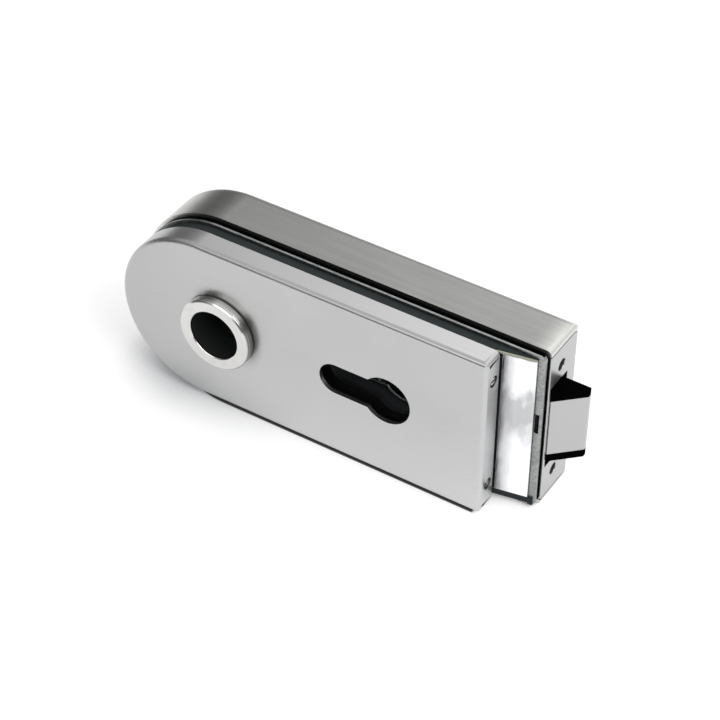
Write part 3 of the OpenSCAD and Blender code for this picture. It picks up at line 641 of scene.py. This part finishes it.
# What makes each slot's material, and the setting that holds its colour
FINISHES = {
    "satin_steel": (satin_steel, "satin"),
    "brushed_case": (case_steel, "case"),
    "polished_steel": (mirror_steel, "mirror"),
    "ring_steel": (turned_steel, "ring"),
    "cast_metal": (cast_metal, "casting"),
    "plated_steel": (plated_steel, "plated"),
    "black_plate": (blackened, "blackened"),
    "rubber_layer": (rubber, "rubber"),
    "black_nylon": (nylon, "nylon"),
    "bush_brass": (brass, "brass"),
    "spring_steel": (drawn_wire, "wire"),
}


def finish_for(slot):
    """Material of a slot, made once."""
    name = slot + "_finish"
    found = bpy.data.materials.get(name)
    if found is None:
        make, colour = FINISHES[slot]
        found = make(name, tuple(getattr(settings("lock_finishes"), colour)))
    return found


# Pieces


def add_piece(node, mesh):
    """Puts a finished mesh in the scene in place of a node's plain solid."""
    piece = bpy.data.objects.new(node + "_worked", mesh)
    bpy.context.scene.collection.objects.link(piece)
    mesh.materials.clear()
    mesh.materials.append(finish_for(SLOTS[node]))
    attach(piece, BODIES[node])
    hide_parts(node)
    return piece


def round_edges(piece, edge, sharp):
    """Gives a piece rounded edges and even shading."""
    if edge > 0:
        bevel = piece.modifiers.new("edges", "BEVEL")
        bevel.width = edge
        bevel.segments = 2
        bevel.limit_method = "ANGLE"
        bevel.angle_limit = sharp
        bevel.use_clamp_overlap = True
        bevel.miter_outer = "MITER_ARC"
    weigh = piece.modifiers.new("normals", "WEIGHTED_NORMAL")
    weigh.keep_sharp = True
    weigh.weight = 80


def merged_mesh(node):
    """The solid's mesh with its loose triangles joined and its flat faces made whole."""
    bm = bmesh.new()
    bm.from_mesh(frame["nodes"][node].data)
    bmesh.ops.remove_doubles(bm, verts=bm.verts, dist=SAME_POINT)
    bmesh.ops.dissolve_limit(bm, angle_limit=SAME_FACE, verts=bm.verts, edges=bm.edges)
    return bm


def work_edges(edge, *nodes):
    """Puts copies of nodes' solids in their place, with their edges rounded as a finished piece's are."""
    for node in nodes:
        bm = merged_mesh(node)
        mesh = bpy.data.meshes.new(node + "_worked")
        for face in bm.faces:
            face.smooth = True
        bm.to_mesh(mesh)
        bm.free()
        mesh.set_sharp_from_angle(angle=SHARP)
        round_edges(add_piece(node, mesh), edge, SHARP)


def islands(node):
    """Low and high corners of each separate solid of a node, in metres, from west to east."""
    bm = merged_mesh(node)
    left, found = set(bm.verts), []
    while left:
        reached, waiting = set(), [left.pop()]
        while waiting:
            vertex = waiting.pop()
            reached.add(vertex)
            for line in vertex.link_edges:
                other = line.other_vert(vertex)
                if other in left:
                    left.discard(other)
                    waiting.append(other)
        spans = [[vertex.co[axis] for vertex in reached] for axis in range(3)]
        found.append([Vector(pick(span) for span in spans) for pick in (min, max)])
    bm.free()
    return sorted(found, key=lambda box: (round(box[0].x, 4), round(box[0].z, 4)))


# Repeated and wound pieces


class Recipe(Tree):
    """A geometry node tree with named sizes, which ends as one real mesh with a material."""

    def __init__(self, name, sizes):
        super().__init__(bpy.data.node_groups.new(name, "GeometryNodeTree"))
        sockets = self.tree.interface
        sockets.new_socket(name="Geometry", in_out="OUTPUT", socket_type="NodeSocketGeometry")
        sockets.new_socket(name="Geometry", in_out="INPUT", socket_type="NodeSocketGeometry")
        for label, value in sizes.items():
            made = sockets.new_socket(name=label, in_out="INPUT", socket_type="NodeSocketFloat")
            made.default_value = value
        sockets.new_socket(name="Material", in_out="INPUT", socket_type="NodeSocketMaterial")
        self.given = self.node("NodeGroupInput", out="Geometry")

    def size(self, label):
        """One of the named sizes."""
        return self.other(self.given, label)

    def close(self, shape, smooth=True):
        """Makes the shape real, gives it the material and hands it out."""
        real = self.node("GeometryNodeRealizeInstances", {}, {0: shape})
        shaded = self.node("GeometryNodeSetShadeSmooth", {}, {"Geometry": real, "Shade Smooth": smooth})
        painted = self.node(
            "GeometryNodeSetMaterial", {}, {"Geometry": shaded, "Material": self.size("Material")}
        )
        self.join(painted, self.node("NodeGroupOutput", out=None).inputs[0])
        return self.tree


def grown_mesh(node, tree, places=((0.0, 0.0, 0.0),), **sizes):
    """Plain mesh that a recipe makes for a node, at the given places."""
    name = node + "_grown"
    seed = bpy.data.meshes.new(name + "_places")
    seed.from_pydata(places, [], [])
    host = bpy.data.objects.new(name + "_host", seed)
    bpy.context.scene.collection.objects.link(host)
    grow = host.modifiers.new("recipe", "NODES")
    grow.node_group = tree
    wanted = {label.replace("_", " "): value for label, value in sizes.items()}
    wanted["Material"] = finish_for(SLOTS[node])
    for item in tree.interface.items_tree:
        if item.item_type == "SOCKET" and item.in_out == "INPUT" and item.name in wanted:
            grow[item.identifier] = wanted.pop(item.name)
    if wanted:
        raise ValueError(f"{tree.name} has no inputs {sorted(wanted)}")
    context = bpy.context.evaluated_depsgraph_get()
    mesh = bpy.data.meshes.new_from_object(host.evaluated_get(context), depsgraph=context)
    mesh.name = name
    host.modifiers.remove(grow)
    bpy.data.objects.remove(host)
    bpy.data.meshes.remove(seed)
    if not mesh.polygons:
        raise ValueError(f"{name} came out empty")
    return mesh


@cache
def spring_recipe():
    """Round wire wound along X, with the end coils closed."""
    recipe = Recipe("coil_spring", {"Turns": 8.0, "Radius": 0.0026, "Wire": 0.0008, "Length": 0.02})
    turns, radius, wire = recipe.size("Turns"), recipe.size("Radius"), recipe.size("Wire")
    length = recipe.size("Length") - wire
    spiral = recipe.node("GeometryNodeCurveSpiral", {}, {
        "Resolution": 28, "Rotations": turns, "Start Radius": radius, "End Radius": radius, "Height": length,
    })
    wound = recipe.node("GeometryNodeSplineParameter", out="Factor") * turns
    # The first and the last turn rise by one wire, and the turns between them by the rest
    closed = recipe.ramp(wound, 0.0, 1.0) + recipe.ramp(wound, turns - 1.0, turns)
    rise = wire * closed + (length - 2.0 * wire) * recipe.ramp(wound, 1.0, turns - 1.0)
    flat = recipe.node("ShaderNodeSeparateXYZ", {}, {0: recipe.node("GeometryNodeInputPosition")})
    place = recipe.node(
        "ShaderNodeCombineXYZ", {}, {0: wire * 0.5 + rise, 1: flat, 2: recipe.other(flat, "Y")}
    )
    path = recipe.node("GeometryNodeSetPosition", {}, {"Geometry": spiral, "Position": place})
    profile = recipe.node("GeometryNodeCurvePrimitiveCircle", {}, {"Resolution": 12, "Radius": wire * 0.5})
    return recipe.close(recipe.node(
        "GeometryNodeCurveToMesh", {}, {"Curve": path, "Profile Curve": profile, "Fill Caps": True}
    ))


@cache
def screw_recipe():
    """Slotted screws along Z below each place, each turned by its own angle, with a wound thread."""
    recipe = Recipe("slotted_screw", {
        "Head Radius": 0.0034, "Neck Radius": 0.0034, "Head Height": 0.0026, "Shank Radius": 0.002,
        "Length": 0.024, "Slot Width": 0.001, "Slot Depth": 0.0011, "Pitch": 0.0007, "Seed": 3.0,
    })
    head, neck, high = recipe.size("Head Radius"), recipe.size("Neck Radius"), recipe.size("Head Height")
    shank, length, pitch = recipe.size("Shank Radius"), recipe.size("Length"), recipe.size("Pitch")

    def moved(shape, up):
        """Shape moved along its axis."""
        lift = recipe.node("ShaderNodeCombineXYZ", {}, {2: up})
        return recipe.node("GeometryNodeTransform", {}, {"Geometry": shape, "Translation": lift})

    cap = moved(recipe.node(
        "GeometryNodeMeshCone", {}, {"Vertices": 48, "Radius Top": head, "Radius Bottom": neck, "Depth": high}
    ), 0.0 - high)
    # The cutter is longer than the head is wide, and half of its height is above the head
    cutter = recipe.node("GeometryNodeMeshCube", {}, {"Size": recipe.node("ShaderNodeCombineXYZ", {}, {
        0: head * 2.4, 1: recipe.size("Slot Width"), 2: recipe.size("Slot Depth") * 2.0
    })})
    cut = recipe.node(
        "GeometryNodeMeshBoolean", {"operation": "DIFFERENCE", "solver": "EXACT"},
        {"Mesh 1": cap, "Mesh 2": cutter},
    )
    core = length - high
    stem = moved(recipe.node(
        "GeometryNodeMeshCylinder", {}, {"Vertices": 32, "Radius": shank - pitch * 0.45, "Depth": core}
    ), 0.0 - high - core * 0.5)
    # The thread leaves one pitch of the stem bare at each end
    threaded = core - pitch * 2.0
    crest = shank - pitch * 0.35
    thread = recipe.node("GeometryNodeCurveSpiral", {}, {
        "Resolution": 20, "Rotations": threaded / pitch, "Start Radius": crest, "End Radius": crest,
        "Height": threaded,
    })
    ridge = recipe.node("GeometryNodeCurvePrimitiveCircle", {}, {"Resolution": 4, "Radius": pitch * 0.34})
    wound = moved(recipe.node(
        "GeometryNodeCurveToMesh", {}, {"Curve": thread, "Profile Curve": ridge, "Fill Caps": True}
    ), pitch - length)
    whole = recipe.node("GeometryNodeJoinGeometry", out=None)
    for part in (cut, stem, wound):
        recipe.join(part, whole.inputs[0])
    angle = recipe.node("FunctionNodeRandomValue", {"data_type": "FLOAT"}, {
        2: 0.0, 3: 3.0, "Seed": recipe.node("FunctionNodeFloatToInt", {}, {0: recipe.size("Seed")})
    }, out=1)
    turn = recipe.node("ShaderNodeCombineXYZ", {}, {2: angle})
    return recipe.close(recipe.node("GeometryNodeInstanceOnPoints", {}, {
        "Points": recipe.given, "Instance": Wire(recipe, whole.outputs[0]), "Rotation": turn
    }), smooth=False)


# Ways for a screw's head to face: the axis along it, one across it, and the turn from up to there
FACINGS = {
    "-Y": (1, 2, Matrix.Rotation(math.radians(90), 4, "X")),
    "+X": (0, 2, Matrix.Rotation(math.radians(90), 4, "Y")),
    "-Z": (2, 0, Matrix.Rotation(math.radians(180), 4, "X")),
}


def screw_set(node, facing, seed, neck=None, slim=1.0, sunk=0.0, **sizes):
    """Slotted screws in place of a node's plain ones, with their heads facing one way.

    A neck makes the head a cone. The heads may be slimmer than the plain ones, and sunk by a length.
    """
    boxes = islands(node)
    axis, across, turn = FACINGS[facing]
    tops = []
    for low, high in boxes:
        top = (low + high) / 2
        top[axis] = high[axis] - sunk if facing == "+X" else low[axis] + sunk
        tops.append(tuple(turn.inverted() @ top))
    low, high = boxes[0]
    radius = slim * (high[across] - low[across]) / 2
    mesh = grown_mesh(
        node, screw_recipe(), tops, Head_Radius=radius, Neck_Radius=neck or radius,
        Length=high[axis] - low[axis] - sunk, Seed=float(seed), **sizes
    )
    mesh.transform(turn)
    mesh.set_sharp_from_angle(angle=SHARP_SCREW)
    round_edges(add_piece(node, mesh), SCREW_EDGE, SCREW_BEVEL)


def spring(node, turns, radius, axis="X"):
    """Coil spring in place of a node's plain one, along X or Y."""
    (low, high), = islands(node)
    along = "XY".index(axis)
    mesh = grown_mesh(
        node, spring_recipe(), Turns=float(turns), Radius=radius, Wire=settings("lock_springs").wire,
        Length=high[along] - low[along],
    )
    if axis == "Y":
        mesh.transform(Matrix.Rotation(math.radians(90), 4, "Z"))
    start = (low + high) / 2
    start[along] = low[along]
    mesh.transform(Matrix.Translation(start))
    mesh.set_sharp_from_angle(angle=SHARP_SPRING)
    return add_piece(node, mesh)


class LOCK_OT_front_cover(bpy.types.Operator):
    """Front cover with its fixing plate"""

    bl_idname = "lock.front_cover"
    bl_label = "Front cover"

    def execute(self, context):
        work_edges(settings("lock_edges").sheet, "front_cover", "front_base")
        return {"FINISHED"}


class LOCK_OT_rings(bpy.types.Operator):
    """Handle rings with their liners and clip"""

    bl_idname = "lock.rings"
    bl_label = "Handle rings"

    def execute(self, context):
        work_edges(
            settings("lock_edges").fine, "front_ring", "rear_ring", "front_liner", "rear_liner", "ring_clip"
        )
        return {"FINISHED"}


class LOCK_OT_case(bpy.types.Operator):
    """Rear case cover, forend plate and chassis"""

    bl_idname = "lock.case"
    bl_label = "Case"

    def execute(self, context):
        edges = settings("lock_edges")
        work_edges(edges.sheet, "case_cover")
        work_edges(edges.seam, "forend_plate")
        work_edges(edges.cast, "lock_chassis", "back_plate")
        work_edges(edges.fine, "chassis_posts")
        return {"FINISHED"}


class LOCK_OT_layers(bpy.types.Operator):
    """Gasket, lid and seal between the covers"""

    bl_idname = "lock.layers"
    bl_label = "Layers between the covers"

    def execute(self, context):
        edges = settings("lock_edges")
        work_edges(edges.cast, "glass_gasket")
        work_edges(edges.fine, "case_lid", "case_seal")
        return {"FINISHED"}


class LOCK_OT_nose(bpy.types.Operator):
    """Polished plate on the nose and the block under it"""

    bl_idname = "lock.nose"
    bl_label = "Nose"

    def execute(self, context):
        work_edges(settings("lock_edges").fine, "nose_block", "nose_plate")
        return {"FINISHED"}


class LOCK_OT_latch(bpy.types.Operator):
    """Latch with its caps, slide plate and rivets"""

    bl_idname = "lock.latch"
    bl_label = "Latch"

    def execute(self, context):
        work_edges(
            settings("lock_edges").fine,
            "latch_bolt", "latch_cap_top", "latch_cap_bottom", "latch_slide", "latch_rivets",
        )
        return {"FINISHED"}


class LOCK_OT_works(bpy.types.Operator):
    """Follower, its bushes, the change lever and its pin"""

    bl_idname = "lock.works"
    bl_label = "Follower and lever"

    def execute(self, context):
        work_edges(
            settings("lock_edges").fine,
            "follower", "follower_bush_front", "follower_bush_rear", "change_lever", "lever_pin",
        )
        return {"FINISHED"}


class LOCK_OT_springs(bpy.types.Operator):
    """Coil springs, of which the latch's and the follower's each get a mesh of their own"""

    bl_idname = "lock.springs"
    bl_label = "Springs"

    def execute(self, context):
        sizes = settings("lock_springs")
        for node, joint, end in (("latch_spring", "latch_travel", 0), ("follower_spring", "hub_turn", 1)):
            coil = spring(node, sizes.turns, sizes.radius)
            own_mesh(coil)
        spring("lever_spring", sizes.lever_turns, sizes.lever_radius, "Y")
        return {"FINISHED"}


class LOCK_OT_screws(bpy.types.Operator):
    """Screws of the covers, lid, forend and cylinder"""

    bl_idname = "lock.screws"
    bl_label = "Screws"

    def execute(self, context):
        work_edges(settings("lock_edges").fine, "forend_screws")
        screw_set("clamp_screws", "-Y", 3, Head_Height=0.0026, Shank_Radius=0.002)
        screw_set(
            "lid_screws", "-Y", 5, neck=0.0015, Head_Height=0.0013, Shank_Radius=0.0015,
            Slot_Width=0.0007, Slot_Depth=0.0006, Pitch=0.0005,
        )
        screw_set(
            "cover_screws", "+X", 6, slim=0.86, sunk=0.0001, Head_Height=0.0012, Shank_Radius=0.0014,
            Slot_Width=0.0007, Slot_Depth=0.0008, Pitch=0.0005,
        )
        screw_set(
            "cylinder_screw", "-Z", 4, Head_Height=0.003, Shank_Radius=0.0025,
            Slot_Width=0.0012, Slot_Depth=0.0014, Pitch=0.0008,
        )
        return {"FINISHED"}


# Stage


def floor_material(colour):
    """Pale floor that keeps the lock's shadow and looks white to the camera and in the metal.

    It has painted shade round the lock's left end, and a thin painted shadow line under the front cover.
    """
    shader = Shader("floor")
    east, depth, _ = shader.axes()
    low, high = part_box("front_cover")
    # The cover clears the floor by this, more round its left end; the painted shadow line lies as far back.
    round_end = shader.ramp(east, 0.0, low[0]) * low[0]
    rise = low[2] - CAD_BOX[0][2] + round_end * round_end * (0.5 / high[2])
    line = shader.ramp(depth - rise, *(low[1] - gap for gap in FLOOR_LINE)) * (depth < high[1])
    line = line * shader.ramp(east, *FLOOR_LINE_START)
    line = line * (1.0 - shader.ramp(east, *(high[0] - gap for gap in FLOOR_LINE_END)))
    # Painted shade by how near the lock is, only round its left end
    near = shader.node("ShaderNodeAmbientOcclusion", {"samples": 12}, {"Distance": SHADE_REACH}, out="AO")
    shade = (1.0 - shader.ramp(near, 0.4, 0.95)) * shader.ramp(east, *FLOOR_SHADE)
    grain = shader.noise(shader.place(), 60.0, 3.0, 0.6)
    pale = shader.layered(colour, colour, (grain * 0.3, 0.985), (shade, 0.55), (line, 0.08))
    matte = shader.node("ShaderNodeBsdfDiffuse", {}, {"Color": pale})
    # The floor's glow carries the same painted shade and painted shadow line
    white = shader.blend(shade, (1.0, 1.0, 1.0), (0.38, 0.4, 0.44))
    white = shader.blend(line, white, (0.03, 0.03, 0.03))
    camera = shader.node("ShaderNodeLightPath", out="Is Camera Ray")
    seen = camera + shader.other(camera, "Is Glossy Ray") + shader.other(camera, "Is Transmission Ray")
    glow = shader.node("ShaderNodeEmission", {}, {"Color": white, "Strength": seen * FLOOR_GLOW})
    shader.join(shader.node("ShaderNodeAddShader", {}, {0: matte, 1: glow}), shader.output.inputs["Surface"])
    return shader.material


def white_world(strength):
    """Soft light, white to the camera, with the bright band and the dim parts that the metal reflects."""
    world = bpy.data.worlds.new("soft_light")
    bpy.context.scene.world = world
    world.use_nodes = True
    tree = Tree(world.node_tree)
    tree.tree.nodes.clear()
    camera = tree.node("ShaderNodeLightPath", out="Is Camera Ray")
    seen = camera.maths("MAXIMUM", camera, tree.other(camera, "Is Transmission Ray"))
    east = tree.node("ShaderNodeSeparateXYZ", {}, {0: tree.node("ShaderNodeTexCoord", out="Generated")})
    back, height = tree.other(east, "Y"), tree.other(east, "Z")
    behind = tree.ramp(east, *TO_RIGHT) * tree.ramp(back, *TO_BACK) + tree.ramp(back, *STRAIGHT_BACK)
    light = tree.blend(behind, tree.greys(height, SKY), tree.greys(height, BACK_SKY))
    shade = tree.greys(east - SHADE_LEFT, SHADE)
    light = tree.blend(tree.ramp(height, *SHADE_BELOW), light, shade, "MULTIPLY")
    light = tree.blend(1.0, light, DIM, "LIGHTEN")
    lit = tree.node("ShaderNodeBackground", {}, {"Color": light, "Strength": strength})
    white = tree.node("ShaderNodeBackground", {}, {"Color": (1.0, 1.0, 1.0), "Strength": 1.0})
    both = tree.node("ShaderNodeMixShader", {}, {0: seen, 1: lit, 2: white})
    tree.join(both, tree.node("ShaderNodeOutputWorld", out=None).inputs[0])


def add_lamp(name, lamp, target, power):
    """Large soft lamp aimed at a point."""
    place, size, tint = lamp
    data = bpy.data.lights.new(name, "AREA")
    data.shape = "RECTANGLE"
    data.size, data.size_y = size
    data.energy = power
    data.color = tint
    made = bpy.data.objects.new(name, data)
    bpy.context.scene.collection.objects.link(made)
    made.location = place
    made.rotation_euler = (Vector(target) - Vector(place)).to_track_quat("-Z", "Y").to_euler()


class LOCK_OT_camera(bpy.types.Operator):
    """Camera at the photograph's angle"""

    bl_idname = "lock.camera"
    bl_label = "Camera"

    def execute(self, context):
        fit = settings("lock_camera")
        azimuth, elevation, roll = fit.azimuth, fit.elevation, fit.roll
        flat = math.cos(elevation)
        back = Vector((math.sin(azimuth) * flat, -math.cos(azimuth) * flat, math.sin(elevation)))
        right = Vector((math.cos(azimuth), math.sin(azimuth), 0.0))
        up = back.cross(right)
        level = right * math.cos(roll) + up * math.sin(roll)
        up = up * math.cos(roll) - right * math.sin(roll)
        data = bpy.data.cameras.new("camera")
        data.sensor_width = SENSOR
        data.lens = SENSOR * fit.focal / PICTURE
        data.clip_start, data.clip_end = 0.01, 20.0
        camera = bpy.data.objects.new("camera", data)
        context.scene.collection.objects.link(camera)
        stand = Matrix.Translation(back * fit.distance - level * fit.across - up * fit.up)
        camera.matrix_world = stand @ Matrix((level, up, back)).transposed().to_4x4()
        context.scene.camera = camera
        return {"FINISHED"}


class LOCK_OT_stage(bpy.types.Operator):
    """Floor, world and lamps"""

    bl_idname = "lock.stage"
    bl_label = "Stage"

    def execute(self, context):
        stage = settings("lock_stage")
        low, high = Vector(CAD_BOX[0]), Vector(CAD_BOX[1])
        centre = (low + high) / 2
        square = ((-1, -1), (1, -1), (1, 1), (-1, 1))
        corners = [(centre.x + x * FLOOR_REACH, centre.y + y * FLOOR_REACH, low.z) for x, y in square]
        mesh = bpy.data.meshes.new("floor")
        mesh.from_pydata(corners, [], [(0, 1, 2, 3)])
        mesh.materials.append(floor_material(tuple(stage.floor)))
        floor = bpy.data.objects.new("floor", mesh)
        context.scene.collection.objects.link(floor)
        white_world(stage.sky)
        add_lamp("key", KEY_LAMP, centre, stage.key)
        add_lamp("side", SIDE_LAMP, centre, stage.side)
        context.scene.view_settings.view_transform = "Standard"
        return {"FINISHED"}


class LOCK_PT_panel(bpy.types.Panel):
    """Lists the lock's pieces and settings"""

    bl_idname = "LOCK_PT_panel"
    bl_label = "Glass door lock"
    bl_space_type = "VIEW_3D"
    bl_region_type = "UI"
    bl_category = "Lock"

    def draw(self, context):
        for group in GROUPS:
            box = self.layout.box()
            data = settings(group)
            for name in data.__annotations__:
                box.prop(data, name)
        for operator in OPERATORS:
            self.layout.operator(operator.bl_idname)


GROUPS = {
    "lock_finishes": LockFinishes,
    "lock_edges": LockEdges,
    "lock_springs": LockSprings,
    "lock_camera": LockCamera,
    "lock_stage": LockStage,
}
OPERATORS = (
    LOCK_OT_camera,
    LOCK_OT_front_cover,
    LOCK_OT_rings,
    LOCK_OT_case,
    LOCK_OT_layers,
    LOCK_OT_nose,
    LOCK_OT_latch,
    LOCK_OT_works,
    LOCK_OT_springs,
    LOCK_OT_screws,
    LOCK_OT_stage,
)


def register():
    """Registers the classes and hangs the settings on the scene."""
    for name, group in GROUPS.items():
        bpy.utils.register_class(group)
        setattr(bpy.types.Scene, name, bpy.props.PointerProperty(type=group))
    for operator in OPERATORS:
        bpy.utils.register_class(operator)
    bpy.utils.register_class(LOCK_PT_panel)


def unregister():
    """Takes the classes and settings away again."""
    bpy.utils.unregister_class(LOCK_PT_panel)
    for operator in reversed(OPERATORS):
        bpy.utils.unregister_class(operator)
    for name, group in GROUPS.items():
        delattr(bpy.types.Scene, name)
        bpy.utils.unregister_class(group)


def main():
    """Builds every piece and the stage."""
    register()
    for operator in OPERATORS:
        category, name = operator.bl_idname.split(".")
        getattr(getattr(bpy.ops, category), name)()


if __name__ == "__main__":
    main()
